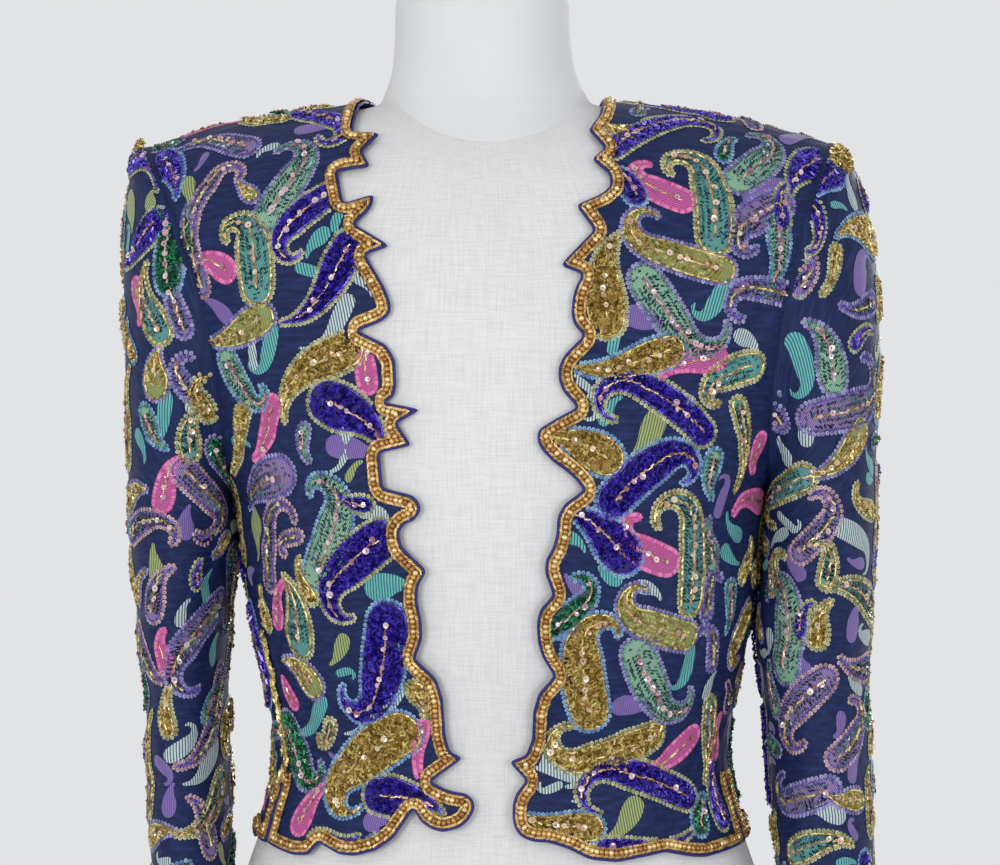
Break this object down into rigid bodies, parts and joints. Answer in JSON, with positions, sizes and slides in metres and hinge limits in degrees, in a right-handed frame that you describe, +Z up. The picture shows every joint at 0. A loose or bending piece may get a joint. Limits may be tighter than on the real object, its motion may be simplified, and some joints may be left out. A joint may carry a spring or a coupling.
{
  "type": "matador jacket on a limbless dress form",
  "caption": "Short open evening jacket with long sleeves, square shoulders, scalloped gold edging and beaded paisleys, resting on a limbless cloth-covered dress form.",
  "frame": {"origin": "centre of the bounding box's bottom face, on the flat base of the dress form", "axes": "+Z up, the open front faces -Y, the wearer's right side is at -X"},
  "size_m": [0.4634, 0.2514, 0.7655],
  "materials": {
    "cloth": "navy silk with beaded, sequinned and embroidered paisleys",
    "gold": "rows of round gold metallic beads",
    "cover": "matt fine plain weave",
    "jersey": "matt fine jersey"
  },
  "bodies": {
    "root": {"front_right": "cloth", "front_left": "cloth", "back": "cloth", "sleeve_right": "cloth", "sleeve_left": "cloth", "edging_front_right": "gold", "edging_front_left": "gold", "edging_hem_back": "gold", "edging_neck_back": "gold", "form_torso": "cover", "form_neck": "jersey"}
  },
  "joints": []
}
